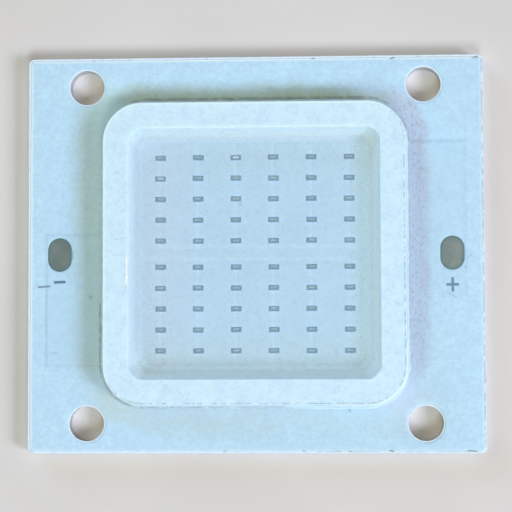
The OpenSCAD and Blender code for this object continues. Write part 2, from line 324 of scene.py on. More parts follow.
def round_rectangle(w, d, r):
    """A rectangle with round corners, divided evenly."""
    points = []
    for k, (cx, cy) in enumerate([(1, 1), (-1, 1), (-1, -1), (1, -1)]):
        centre = np.array([cx * (w / 2 - r), cy * (d / 2 - r)])
        for a in np.linspace(0, pi / 2, 7) + k * pi / 2:
            points.append(centre + r * np.array([cos(a), sin(a)]))
    return divided(np.array(points), OUTLINE_STEP)


def circle(x, y, r):
    a = np.linspace(0, 2 * pi, CIRCLE_POINTS, endpoint=False)
    return np.column_stack([x + r * np.cos(a), y + r * np.sin(a)])


def stadium(x, inset):
    """The outline of a solder pad, set in from its edge."""
    r = PAD_W / 2 - inset
    points = []
    for centre_y, start in (((PAD_L - PAD_W) / 2, 0), (-(PAD_L - PAD_W) / 2, pi)):
        for a in np.linspace(start, start + pi, PAD_END_POINTS):
            points.append((x + r * cos(a), centre_y + r * sin(a)))
    return np.array(points)


def worn(outline, waviness, seed, chips):
    """The board's outline with its edge slightly uneven, and broken at the chips."""
    out = outline.copy()
    for p in out:
        inward = waviness * (0.5 + 0.5 * wobble(*p, WAVE_SCALE, seed))
        axis = 0 if abs(p[0]) / BOARD_W > abs(p[1]) / BOARD_D else 1
        for x, side, length, depth in chips:
            if axis == 1 and p[1] * side > 0:
                inward += depth * exp(-((p[0] - x) / length) ** 2 * 3)
        p[axis] -= inward * copysign(1, p[axis])
    return out


# Meshes

def placed(name, data):
    obj = bpy.data.objects.new(name, data)
    bpy.context.scene.collection.objects.link(obj)
    return obj


def piece(name, points, faces, materials, slot, replaced=(), indices=(), flat=False, **attributes):
    """A mesh from points in millimetres, which rides on the board and stands for the replaced CAD nodes."""
    mesh = bpy.data.meshes.new(name)
    mesh.from_pydata((np.array(points) * MM).tolist(), [], faces, shade_flat=flat)
    for key, values in attributes.items():
        layer = mesh.attributes.new(key, "FLOAT", "POINT")
        layer.data.foreach_set("value", np.array(values, np.float32))
    for material in materials:
        mesh.materials.append(material)
    if indices:
        mesh.polygons.foreach_set("material_index", indices)
    bm = bmesh.new()
    bm.from_mesh(mesh)
    bmesh.ops.recalc_face_normals(bm, faces=bm.faces)
    bm.to_mesh(mesh)
    bm.free()
    obj = placed(name, mesh)
    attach(obj, "root")
    if replaced:
        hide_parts(*replaced)
    return obj


def at_height(outline, z):
    return np.column_stack([outline, np.full(len(outline), z)])


def shifted(faces, start):
    return [tuple(start + i for i in face) for face in faces]


def loft(count, size, closed=False):
    """Faces between neighbouring rings, and from the last to the first if closed."""
    faces = []
    for a in range(count if closed else count - 1):
        b = (a + 1) % count
        for i in range(size):
            j = (i + 1) % size
            faces.append((a * size + i, a * size + j, b * size + j, b * size + i))
    return faces


def capped(count, size):
    """Faces of a loft with both its ends closed."""
    last = size * (count - 1)
    return loft(count, size) + [tuple(range(size)), tuple(range(last, last + size))]


def inside(points, outline):
    """Which points lie inside a closed outline."""
    hit = np.zeros(len(points), bool)
    for (x0, y0), (x1, y1) in zip(outline, np.roll(outline, -1, axis=0)):
        if y0 != y1:
            crosses = (y0 > points[:, 1]) != (y1 > points[:, 1])
            hit ^= crosses & (points[:, 0] < (x1 - x0) * (points[:, 1] - y0) / (y1 - y0) + x0)
    return hit


def loop_edges(loops):
    """Pairs of neighbouring points round each of several closed loops."""
    edges, start = [], 0
    for loop in loops:
        n = len(loop)
        edges += [(start + i, start + (i + 1) % n) for i in range(n)]
        start += n
    return edges


def triangles(outline, holes, *extra):
    """Triangles between an outline and its holes, through extra points as well."""
    points = np.vstack([outline, *holes, *extra])
    edges = loop_edges([outline, *holes])
    made, _, faces, origin, _, _ = delaunay_2d_cdt([Vector(p) for p in points], edges, [], 0, 1e-6)
    assert len(made) == len(points) and all(o == [i] for i, o in enumerate(origin))
    faces = np.array(faces)
    centres = np.array([tuple(v) for v in made])[faces].mean(axis=1)
    keep = inside(centres, outline)
    for hole in holes:
        keep &= ~inside(centres, hole)
    return faces[keep].tolist()


def plate(outlines, holes, heights):
    """A closed plate through rings at several heights, with as many rings round each hole."""
    points, faces, ends = [], [], ([], [])
    for rings in [outlines, *holes]:
        size = len(rings[0])
        start = sum(len(p) for p in points)
        last = start + size * (len(rings) - 1)
        points += [at_height(ring, z) for ring, z in zip(rings, heights)]
        faces += shifted(loft(len(rings), size), start)
        ends[0].extend(range(start, start + size))
        ends[1].extend(range(last, last + size))
    for level, index in zip((0, -1), ends):
        flat = triangles(outlines[level], [hole[level] for hole in holes])
        faces += [tuple(index[i] for i in face) for face in flat]
    return np.vstack(points), faces


# Materials

def srgb(r, g, b):
    """A colour given as 0 to 255 on the screen."""
    return (*(((c / 255 + 0.055) / 1.055) ** 2.4 if c > 10 else c / 3294.6 for c in (r, g, b)), 1)


class Finish:
    """A material under construction: a first colour, what is laid over it, and places in millimetres."""

    def __init__(self, name, colour):
        self.material = bpy.data.materials.new(name)
        self.material.use_nodes = True
        self.tree = self.material.node_tree
        self.tree.nodes.clear()
        self.out = self.add("OutputMaterial")
        self.place = self.vector("SCALE", self.add("TexCoord").outputs["Object"], Scale=1 / MM)
        self.colour = srgb(*colour)

    def add(self, kind, settings=None, **inputs):
        node = self.tree.nodes.new("ShaderNode" + kind)
        for key, value in (settings or {}).items():
            setattr(node, key, value)
        for key, value in inputs.items():
            self.feed(node.inputs[key.replace("_", " ")], value)
        return node

    def feed(self, socket, value):
        if isinstance(value, bpy.types.NodeSocket):
            self.tree.links.new(value, socket)
        else:
            socket.default_value = value

    def vector(self, operation, a, b=None, **inputs):
        node = self.add("VectorMath", {"operation": operation}, **inputs)
        self.feed(node.inputs[0], a)
        if b is not None:
            self.feed(node.inputs[1], b)
        return node.outputs["Value" if operation in ("DISTANCE", "DOT_PRODUCT") else "Vector"]

    def math(self, operation, *values):
        node = self.add("Math", {"operation": operation})
        for socket, value in zip(node.inputs, values):
            self.feed(socket, value)
        return node.outputs[0]

    def times(self, a, b):
        return self.math("MULTIPLY", a, b)

    def most(self, a, b):
        return self.math("MAXIMUM", a, b)

    def grain(self, scale, detail, rough=0.5, stretch=None):
        """Noise with a grain of about 1 / scale millimetres."""
        place = self.vector("MULTIPLY", self.place, stretch) if stretch else self.place
        node = self.add("TexNoise", Vector=place, Scale=scale, Detail=detail, Roughness=rough)
        return node.outputs["Fac"]

    def between(self, value, low, high, to_low=0, to_high=1):
        """A value mapped smoothly from one range to another."""
        node = self.add("MapRange", {"interpolation_type": "SMOOTHSTEP"}, Value=value, From_Min=low,
                        From_Max=high, To_Min=to_low, To_Max=to_high)
        return node.outputs[0]

    def painted(self, name):
        """A value held at each point of the mesh."""
        return self.add("Attribute", {"attribute_name": name}).outputs["Fac"]

    def spots(self, places):
        total = 0.0
        flat = self.vector("MULTIPLY", self.place, (1, 1, 0))
        for x, y, radius in places:
            spot = self.between(self.vector("DISTANCE", flat, (x, y, 0)), radius * 0.5, radius, 1, 0)
            total = self.most(spot, total)
        return total

    def strokes(self, lines):
        total = 0.0
        flat = self.vector("MULTIPLY", self.place, (1, 1, 0))
        for x0, y0, x1, y1, half in lines:
            along = np.array([x1 - x0, y1 - y0, 0.0])
            start = self.vector("SUBTRACT", flat, (x0, y0, 0))
            share = self.vector("DOT_PRODUCT", start, tuple(along / along.dot(along)))
            share = self.math("MINIMUM", self.most(share, 0.0), 1.0)
            foot = self.vector("SCALE", tuple(along), Scale=share)
            line = self.between(self.vector("DISTANCE", start, foot), half * 0.4, half, 1, 0)
            total = self.most(line, total)
        return total

    def lay(self, share, colour, *factors):
        """Another colour over what is there, by a share or the name of a painted one, times any factors."""
        if isinstance(share, str):
            share = self.painted(share)
        for factor in factors:
            share = self.times(share, factor)
        node = self.add("Mix", {"data_type": "RGBA"})
        for index, value in ((0, share), (6, self.colour), (7, srgb(*colour))):
            self.feed(node.inputs[index], value)
        self.colour = node.outputs[2]

    def bump(self, height, depth, **inputs):
        """A surface relief, with its depth in millimetres."""
        return self.add("Bump", Height=height, Distance=depth * MM, Strength=1.0, **inputs).outputs[0]

    def lifted(self, normal, share, amount):
        """A normal turned up by a share, as light bends toward straight down inside the clear fill."""
        up = self.vector("SCALE", (0, 0, amount), Scale=share)
        return self.vector("NORMALIZE", self.vector("ADD", normal, up))

    def surface(self, roughness, normal=None, **inputs):
        shader = self.add("BsdfPrincipled", Base_Color=self.colour, Roughness=roughness, **inputs)
        if normal:
            self.feed(shader.inputs["Normal"], normal)
        self.tree.links.new(shader.outputs[0], self.out.inputs["Surface"])
        return self.material


def mask_finish():
    """White solder mask, darker over copper, with what has settled on it, and painted shade, shadow, light
    and highlights.
    """
    f = Finish("solder_mask_white", (187, 224, 246))
    cloud = f.grain(0.45, 4)
    fine = f.grain(2.6, 5, 0.7)
    f.lay(f.between(cloud, 0.35, 0.65), (193, 230, 250))
    f.lay(f.between(f.grain(1.3, 3), 0.4, 0.65, 0, 0.5), (187, 217, 241))
    f.lay(f.between(fine, 0.35, 0.7, 0, 0.5), (171, 207, 229))
    f.lay("copper", (174, 211, 234), 0.28)
    f.lay("copper_edge", (150, 180, 208), f.between(f.grain(2.2, 4, 0.7), 0.35, 0.6, 0.3, 1), 0.3)
    # Painted highlight along the edge; painted light in the well and at the frame's upper left corner
    f.lay("rim", (234, 250, 255), 0.9)
    f.lay("pale", (206, 244, 255), 0.6)
    f.lay("violet", (208, 212, 232), 0.28)
    f.lay("grime", (184, 205, 202), f.between(f.grain(1.5, 5, 0.75), 0.34, 0.66, 0.3, 1.1), 0.45)
    # Dusting with painted shadow in it
    patches = f.between(f.grain(4.2, 5, 0.8, DUST_STRETCH), 0.34, 0.6, 0.55, 1)
    f.lay("dust", (177, 174, 191), patches, 0.56)
    # Yellow staining with painted shadow in it
    f.lay("stain", (169, 181, 129), f.between(f.grain(3.2, 5, 0.8), 0.36, 0.62, 0.66, 1), 0.76)
    # A dark line at the frame's foot, grime and painted shade, laid with the frame's painted shade
    foot = f.times(f.strokes(FOOT_LINE), f.between(f.grain(1.1, 4, 0.7), 0.36, 0.55, 0.25, 0.6))
    f.lay(f.most(foot, f.painted("film")), (104, 124, 128))
    specks = f.between(f.grain(4.6, 3, 0.6, DUST_STRETCH), 0.52, 0.68)
    specks = f.most(f.times(specks, f.painted("dust")), f.spots(MASK_SPOTS))
    specks = f.most(specks, f.times(f.strokes(MASK_SCRATCHES), 0.6))
    f.lay(specks, (108, 132, 152), 0.36)
    relief = f.bump(fine, 0.006, Normal=f.bump(f.grain(6, 2), 0.002))
    return f.surface(f.between(cloud, 0.3, 0.7, 0.5, 0.62), relief)


def frame_finish():
    """White moulded plastic, a little translucent, with small scratches, painted highlights on its edges, and
    painted light and shade on the well's walls.
    """
    f = Finish("moulded_white_plastic", (204, 234, 253))
    cloud = f.grain(0.35, 4)
    fine = f.grain(2.8, 4, 0.65)
    f.lay(f.between(cloud, 0.35, 0.68), (209, 238, 255))
    f.lay(f.between(fine, 0.4, 0.65, 0, 0.8), (192, 223, 242))
    f.lay(f.between(f.grain(0.9, 4, 0.6), 0.35, 0.65, 0, 0.45), (218, 244, 255))
    # Painted shade on the well's lit left wall, painted light on its walls in shade, and painted highlights
    # on the edges
    f.lay("tint", (187, 216, 226), 0.85)
    f.lay("pale", (218, 248, 255), 0.85)
    f.lay("rim", (228, 255, 255), 0.85)
    # Dark dashes just inside the top's outer edge on the right and lower sides
    f.lay("dirt", (122, 148, 164), f.between(f.grain(1.4, 4, 0.75), 0.42, 0.56), 0.7)
    f.lay(f.most(f.spots(FRAME_SPOTS), f.strokes(FRAME_SCRATCHES)), (140, 165, 180), 0.16)
    f.lay(f.most(f.spots(GLINTS), f.strokes(GLINT_LINES)), (253, 255, 255))
    f.lay(f.strokes(EDGE_SHINE), (240, 255, 255), 0.7)
    relief = f.bump(fine, 0.008, Normal=f.bump(f.grain(7, 2), 0.003))
    relief = f.lifted(relief, f.painted("wall"), LIGHT_BEND)
    return f.surface(f.between(cloud, 0.3, 0.7, 0.42, 0.55), relief, Subsurface_Weight=0.25,
                     Subsurface_Radius=(1.0, 1.0, 1.0), Subsurface_Scale=0.5 * MM)


def base_finish():
    """Pale insulation, grey where the mask's edge has chipped off it, and in dashes along two edges that are
    painted shade in the gap at the mask's edge, with some grime.
    """
    f = Finish("pale_insulation", (216, 236, 252))
    fine = f.grain(3.0, 4, 0.7)
    f.lay(f.between(fine, 0.35, 0.7), (226, 244, 255))
    f.lay(f.between(f.grain(1.6, 3), 0.62, 0.72, 0, 0.3), (160, 178, 188))
    edge = BOARD_D / 2 - MASK_MARGIN
    chips = []
    for x, side, length, depth in CHIPS:
        start = (x - length / 2, side * (edge - depth * 0.7))
        end = (x + length / 2, side * (edge - depth * 0.2))
        chips.append((*start, *end, depth * 0.55))
    f.lay(f.strokes(chips), (98, 112, 116), 0.75)
    # Dashes of painted shade and grime in the gap at the mask's edge
    f.lay(f.strokes(SEAM_LINES), (138, 156, 170), f.between(f.grain(1.1, 4, 0.7), 0.4, 0.55), 0.5)
    return f.surface(f.between(fine, 0.3, 0.7, 0.4, 0.6), f.bump(fine, 0.01))


def aluminium_finish():
    """Rolled aluminium, with upright marks where its edge was cut."""
    f = Finish("rolled_aluminium", (186, 190, 196))
    lines = f.grain(3.0, 4, 0.7, (0.12, 6, 6))
    cut = f.grain(2.0, 4, 0.7, (3, 3, 0.25))
    f.lay(f.between(lines, 0.3, 0.7), (214, 217, 222))
    f.lay(f.between(f.grain(0.6, 4), 0.55, 0.75, 0, 0.4), (160, 166, 174))
    relief = f.bump(lines, 0.004, Normal=f.bump(cut, 0.01))
    return f.surface(f.between(lines, 0.25, 0.75, 0.3, 0.5), relief, Metallic=1.0)


def copper_finish():
    f = Finish("copper_foil", (176, 104, 70))
    fine = f.grain(4.0, 4, 0.65)
    f.lay(f.between(fine, 0.3, 0.7), (206, 132, 92))
    return f.surface(f.between(fine, 0.3, 0.7, 0.3, 0.5), f.bump(fine, 0.004), Metallic=1.0)


def solder_finish(name, low, high):
    """Dull solder between two greys, darker along the edge of a pad: the solder is thin there, and the shadow
    of the mask's step is painted there too.
    """
    f = Finish(name, low)
    cloud = f.grain(0.9, 4, 0.6)
    fine = f.grain(5.0, 3, 0.6)
    f.lay(f.between(cloud, 0.35, 0.65), high)
    f.lay(f.between(fine, 0.4, 0.75, 0, 0.35), (120, 130, 128))
    f.lay(f.between(f.grain(0.7, 4, 0.6), 0.45, 0.65, 0, 0.3), (116, 122, 132))
    # Darker edge: thin solder, and painted shadow of the mask's step
    f.lay("edge", (70, 106, 114), 0.6)
    relief = f.bump(cloud, 0.02, Normal=f.bump(fine, 0.006))
    return f.surface(f.between(fine, 0.3, 0.7, 0.45, 0.6), relief, Metallic=0.35)


def ink_finish(name, low, high):
    f = Finish(name, low)
    fine = f.grain(7.0, 4, 0.7)
    f.lay(f.between(fine, 0.35, 0.7), high)
    return f.surface(f.between(fine, 0.3, 0.7, 0.5, 0.65), f.bump(fine, 0.003))


def glue_finish():
    """White silicone adhesive, soiled outside the frame and clean inside the well, with painted light on the
    fillet's shaded sides.
    """
    f = Finish("silicone_adhesive", (204, 234, 250))
    cloud = f.grain(0.8, 4, 0.65)
    f.lay(f.between(cloud, 0.35, 0.65), (214, 242, 253))
    f.lay("outside", (170, 184, 194), f.between(f.grain(1.5, 5, 0.75), 0.35, 0.62, 0.4, 0.8))
    f.lay("inside", (190, 219, 240))
    # Painted light on the fillet's shaded sides
    f.lay("pale", (206, 244, 255), 0.7)
    dashes = f.between(f.grain(1.6, 4, 0.75), 0.38, 0.58, 0.1, 0.6)
    f.lay(f.strokes(BEAD_LINE), (118, 142, 154), dashes)
    relief = f.lifted(f.bump(f.grain(3, 3), 0.02), f.painted("inside"), LIGHT_BEND)
    return f.surface(f.between(cloud, 0.3, 0.7, 0.3, 0.5), relief)


def die_edge_finish():
    f = Finish("die_edge", (14, 82, 112))
    fine = f.grain(9.0, 3, 0.7)
    f.lay(f.between(f.grain(0.21, 2), 0.4, 0.6), (28, 100, 116))
    f.lay(f.between(fine, 0.35, 0.7, 0, 0.5), (60, 118, 144))
    return f.surface(f.between(fine, 0.3, 0.7, 0.25, 0.4), f.bump(fine, 0.004))


def die_side_finish():
    f = Finish("die_side", (168, 200, 222))
    lines = f.grain(9.0, 3, 0.7, (1, 1, 0.2))
    f.lay(f.between(lines, 0.3, 0.7), (186, 216, 236))
    return f.surface(f.between(lines, 0.3, 0.7, 0.3, 0.5), f.bump(lines, 0.006))


def die_window_finish():
    """The window of each die, which is lighter by a random amount in each die and by a painted highlight in a
    few, and has a faint contact pattern.
    """
    f = Finish("die_window", (92, 130, 152))
    pattern = f.grain(6.0, 2)
    f.lay(f.between(pattern, 0.42, 0.58), (140, 174, 190))
    # Lighter by each die's own amount, and by a painted highlight in a few dies
    f.lay("tone", (216, 242, 255))
    return f.surface(f.between(pattern, 0.3, 0.7, 0.12, 0.25), f.bump(pattern, 0.004))


def fill_finish():
    """Clear silicone with a slight haze, less where it is thin, and a glossy, gently uneven surface."""
    f = Finish("clear_silicone", (181, 206, 223))
    f.lay(f.between(f.grain(0.25, 3), 0.3, 0.7), (187, 212, 228))
    f.lay(f.between(f.grain(1.8, 4, 0.58), 0.35, 0.68, 0, 0.45), (168, 194, 213))
    relief = f.lifted(f.bump(f.grain(0.12, 2), 0.1), 1.0, 4)
    haze = f.between(f.painted("depth"), 0, 1, FILL_THIN_HAZE * FILL_HAZE, FILL_HAZE)
    return f.surface(f.between(f.grain(1.2, 3), 0.3, 0.7, 0.08, 0.18), relief, Alpha=haze, IOR=FILL_IOR)


# Board

def board_rings(margin, insets, waviness, seed, chips=()):
    """The board's outline, smaller by a margin and by each of the insets."""
    w, d = BOARD_W - 2 * margin, BOARD_D - 2 * margin
    full = worn(round_rectangle(w, d, BOARD_R - margin / 2), waviness, seed, chips)
    middle = np.array([w, d]) / 2
    return [full * (middle - inset) / middle for inset in insets]


def hole_rings(grows):
    return [[circle(x, y, HOLE_R + grow) for grow in grows] for x, y in HOLES]


def make_core():
    insets = (CORE_BEVEL, 0, 0, CORE_BEVEL / 2)
    heights = (0, CORE_BEVEL, CORE_TOP - CORE_BEVEL / 2, CORE_TOP)
    points, faces = plate(board_rings(0, insets, 0, 0), hole_rings(insets), heights)
    piece("board_core", points, faces, [aluminium_finish()], "core", ["core_plate"], flat=True)


def make_base():
    insets = (0, 0, BASE_BEVEL)
    heights = (CORE_TOP, BASE_TOP - BASE_BEVEL_T, BASE_TOP)
    points, faces = plate(board_rings(0, insets, BASE_WAVE, BASE_SEED), hole_rings(insets), heights)
    piece("board_insulation", points, faces, [base_finish()], "insulation", ["insulation"], flat=True)


# Solder mask

def mask_openings(grow):
    """The mask's openings at the holes and the pads, larger by a margin."""
    rounds = [circle(x, y, HOLE_R + HOLE_RING + grow) for x, y in HOLES]
    return rounds + [stadium(x, -grow) for x in (-PAD_X, PAD_X)]


def grid_lines(half, edges):
    """Places across the board, closer together at the copper's edges."""
    places = list(np.arange(-half, half, GRID_STEP))
    for edge in edges:
        places += [edge + k * MASK_SOFTNESS for k in GRID_AT_EDGES]
    places = sorted(p for p in places if -half < p < half)
    kept = places[:1]
    for p in places[1:]:
        if p - kept[-1] > GRID_GAP:
            kept.append(p)
    return kept


def mask_grid():
    """Points all over the mask, clear of its edge and its openings."""
    xs = grid_lines(BOARD_W / 2, [rect[i] for rect in COPPER_RECTS for i in (0, 2)])
    ys = grid_lines(BOARD_D / 2, [rect[i] for rect in COPPER_RECTS for i in (1, 3)])
    grid = np.array([(x, y) for x in xs for y in ys])
    keep = inside(grid, round_rectangle(BOARD_W - 2 * GRID_MARGIN, BOARD_D - 2 * GRID_MARGIN, BOARD_R))
    for opening in mask_openings(2 * MASK_LIP):
        keep &= ~inside(grid, opening)
    return grid[keep]


def near(x, y, place):
    """A share that is 1 at a place and fades over a radius round it."""
    return np.exp(-((x - place[0]) ** 2 + (y - place[1]) ** 2) / WEAR_RADIUS ** 2)


def dust_share(x, y, away, edge, shaded, end):
    """Dusting with the frame's weak shadow painted into it, at the right of the frame and a little below it,
    and a haze at the right end of its top.
    """
    right = ramp(x, 9, 14) * ramp(y, -14.5, -10.5)
    below = ramp(y, -9, -14) * ramp(x, 6, -1)
    reach = DUST_REACH + (DUST_RIGHT + DUST_FAR * near(x, y, DUST_CORNER)) * right
    reach += DUST_DOWN * below * (1 - right)
    dust = smooth((reach - away + edge) / DUST_FADE + 0.2)
    dust *= np.maximum(DUST_LEAST, np.maximum(right, DUST_BELOW * below))
    dust *= 1 + DUST_EXTRA * ramp(x, 10, 13) * ramp(y, 4, 8)
    haze = end * ramp(away - edge, HAZE_REACH, HAZE_REACH - HAZE_FADE) * (y > 0)
    return np.maximum(dust * (1 - shaded), HAZE_SHARE * haze * shaded)


def stain_share(x, y, away, edge, shaded, upper, end):
    """Yellow staining along the left and upper sides, with the frame's shadow painted into it."""
    reach = STAIN_REACH - 1.48 * upper - 1.2 * end - 0.4 * ramp(y, 4, 0) * (1 - upper)
    fade = STAIN_FADE - 0.3 * upper - 1.3 * end
    stain = shaded * ramp(away - STAIN_EDGE * edge, reach, reach - fade) * ramp(y, -15.5, -10.5)
    stain *= STAIN_SHARE + STAIN_UPPER * upper * (1 + 0.2 * ramp(x, 0, 4))
    return stain * (1 - STAIN_GAP_SHARE * near(x, y, STAIN_GAP))


def film_share(x, away, shaded, upper):
    """Painted shade of the frame along the left and upper sides, darker in a band close to the upper side."""
    film = FILM_SHARE * shaded * ramp(away + 2 * upper, FILM_REACH, FILM_REACH - FILM_FADE)
    band = upper * (BAND_SHARE + BAND_EXTRA * ramp(x, -1, 3)) * ramp(x, 11.5, 8.5)
    return np.maximum(film, band * np.exp(-((away - BAND_AT) / BAND_W) ** 2))


def grime_share(x, y, away, edge, shaded):
    """Grime along the lower side, most of it at the lower left corner."""
    low_side = ramp(y, -9, -14) * ramp(x, 12, 7) * (1 - shaded)
    reach = GRIME_REACH - 0.9 * ramp(x, 0, 4)
    grime = low_side * ramp(away - GRIME_FADE * edge, reach, reach - GRIME_FADE)
    return grime * (1 + GRIME_EXTRA * near(x, y, GRIME_CORNER))


def rim_share(x, y):
    """A painted highlight along the mask's edge, where its taper faces away from the lamps; fainter at the
    right and below.
    """
    inset = np.minimum(BOARD_W / 2 - np.abs(x), BOARD_D / 2 - np.abs(y)) - MASK_MARGIN
    across, up = x / BOARD_W, y / BOARD_D
    faint = smooth((np.maximum(across, -up) - np.maximum(-across, up)) * 20 + 0.5)
    return ramp(inset, 0.32, 0.12) * (1 - 0.75 * faint)


def mask_wear(x, y):
    """What has settled on the mask at each place, and the shade, shadow and light painted on it, as shares
    for its finish.
    """
    away = frame_distance(x, y)
    bare = away > -UNDER_BEAD
    in_well = np.maximum(np.abs(x), np.abs(y)) < WELL_FLOOR
    shaded = ramp(np.maximum(-x, y) - np.maximum(x, -y), 0, 6)
    upper = ramp(y - np.abs(x), 0, 4)
    end = ramp(x, 7.5, 10.5)
    edge = np.array([uneven(*p, WEAR_EDGE) for p in zip(x, y)])
    border = copper_cover(x, y, BORDER_SOFTNESS)
    stain = bare * stain_share(x, y, away, edge, shaded, upper, end)
    clean = bare * near(x, y, CLEAN_CORNER)
    return {
        "copper": copper_cover(x, y) * (1 + 0.9 * in_well),
        "copper_edge": 4 * border * (1 - border) * (away > -2),
        # Dusting with painted shadow
        "dust": bare * dust_share(x, y, away, edge, shaded, end),
        # Yellow staining with painted shadow, and painted shade low in the well
        "stain": np.maximum(stain, STAIN_WELL * in_well * ramp(y, -7, -11)),
        # Painted shade of the frame
        "film": bare * film_share(x, away, shaded, upper),
        "grime": bare * grime_share(x, y, away, edge, shaded),
        # Painted highlight along the mask's edge, and a lighter patch near the frame's lower right corner
        "rim": np.maximum(rim_share(x, y), CLEAN_SHARE * clean),
        "violet": np.maximum(in_well * ramp(x, -5, -10), clean),
        # Painted light on the well's floor near its right wall and at the frame's upper left corner
        "pale": np.maximum(in_well * ramp(x, 8.5, 11), PALE_SHARE * bare * near(x, y, PALE_CORNER)),
    }


def make_mask():
    """The mask, which dips between the copper and falls off at its edge and round its openings."""
    insets = (0, *(inset for inset, drop in MASK_RIMS))
    outline, *rims = board_rings(MASK_MARGIN, insets, MASK_WAVE, MASK_SEED, CHIPS)
    openings = mask_openings(0)
    lips = mask_openings(MASK_LIP)
    lips += board_rings(MASK_MARGIN, (MASK_INNER_RIM,), MASK_INNER_WAVE, MASK_SEED)
    extra = np.vstack([*rims, *lips, mask_grid()])
    flat = np.vstack([outline, *openings, extra])
    count, border = len(outline), len(flat) - len(extra)
    heights = mask_height(*flat.T)
    heights[:count] = BASE_TOP + MASK_EDGE_T
    heights[count:border] -= MASK_LIP_DROP
    for k, (inset, drop) in enumerate(MASK_RIMS):
        heights[border + k * count:border + (k + 1) * count] -= drop
    points = np.vstack([np.column_stack([flat, heights]), at_height(flat[:border], BASE_TOP)])
    faces = triangles(outline, openings, extra) + shifted(triangles(outline, openings), len(flat))
    faces += [(a, b, b + len(flat), a + len(flat)) for a, b in loop_edges([outline, *openings])]
    piece("mask", points, faces, [mask_finish()], "mask", ["solder_mask"],
          **mask_wear(*points[:, :2].T))


# Solder pads and printed marks

def make_pad(name, x, material):
    """A pad's coat of solder, slightly domed and uneven."""
    rings = [at_height(stadium(x, 0), PAD_TOP - PAD_FOOT)]
    edge = [1.0]
    for inset, drop in PAD_RINGS:
        ring = at_height(stadium(x, inset), PAD_TOP - drop)
        ring[:, 2] += [PAD_ROUGH * wobble(*p, PAD_SCALE, x) for p in ring[:, :2]]
        rings.append(ring)
        # The darker edge, where the solder is thin and the mask step's shadow is painted
        edge.append(np.clip(1.5 - inset / PAD_EDGE, 0, 1))
    size = len(rings[0])
    piece(name + "_solder", np.vstack(rings), capped(len(rings), size), [material], "solder", [name],
          edge=np.repeat(edge, size))


def ink_shape(name, corners, material, replaced=()):
    """A printed shape on the mask, with a slightly ragged edge."""
    outline = divided(np.array(corners, float), INK_STEP)
    outline += [[INK_ROUGH * wobble(*p, INK_SCALE, seed) for seed in INK_SEEDS] for p in outline]
    size = len(outline)
    ground = mask_height(*outline.T)
    points = np.vstack([np.column_stack([outline, ground + z]) for z in (-INK_SUNK, INK_T)])
    top = triangles(outline, [])
    piece(name, points, loft(2, size) + top + shifted(top, size), [material], "ink", replaced, flat=True)


def bar(x0, y0, x1, y1, width):
    """The outline of a stroke between two points, with slightly rounded ends."""
    along = np.array([x1 - x0, y1 - y0]) / hypot(x1 - x0, y1 - y0)
    across = np.array([-along[1], along[0]]) * width / 2
    a, b, tip = np.array([x0, y0]), np.array([x1, y1]), along * width * 0.2
    return [a - across, b - tip - across, b - across * 0.5, b + across * 0.5, b - tip + across,
            a + tip + across, a + across * 0.5, a - across * 0.5 + tip * 0.2]


def make_marks():
    ink = ink_finish("printed_ink", (76, 112, 136), (100, 136, 158))
    worn_ink = ink_finish("worn_ink", (96, 131, 154), (118, 152, 173))
    faint = ink_finish("faint_ink", (112, 146, 166), (134, 166, 186))
    (x0, y0, _), (x1, y1, _) = span("plus_mark")
    cx, cy, s = (x0 + x1) / 2, (y0 + y1) / 2, MARK_STROKE / 2
    ink_shape("plus_sign", [
        (cx - s, y0), (cx + s, y0), (cx + s, cy - s), (x1, cy - s), (x1, cy + s), (cx + s, cy + s),
        (cx + s, y1), (cx - s, y1), (cx - s, cy + s), (x0, cy + s), (x0, cy - s), (cx - s, cy - s),
    ], worn_ink, ["plus_mark"])
    (x0, y0, _), (x1, y1, _) = span("minus_mark")
    cy = (y0 + y1) / 2
    minus = bar(x0, cy - MINUS_TILT, x1, cy + MINUS_TILT, MARK_STROKE)
    ink_shape("minus_sign", minus, ink, ["minus_mark"])
    ink_shape("stray_stroke", bar(*STRAY_STROKE), faint)


# Frame, adhesive and fill

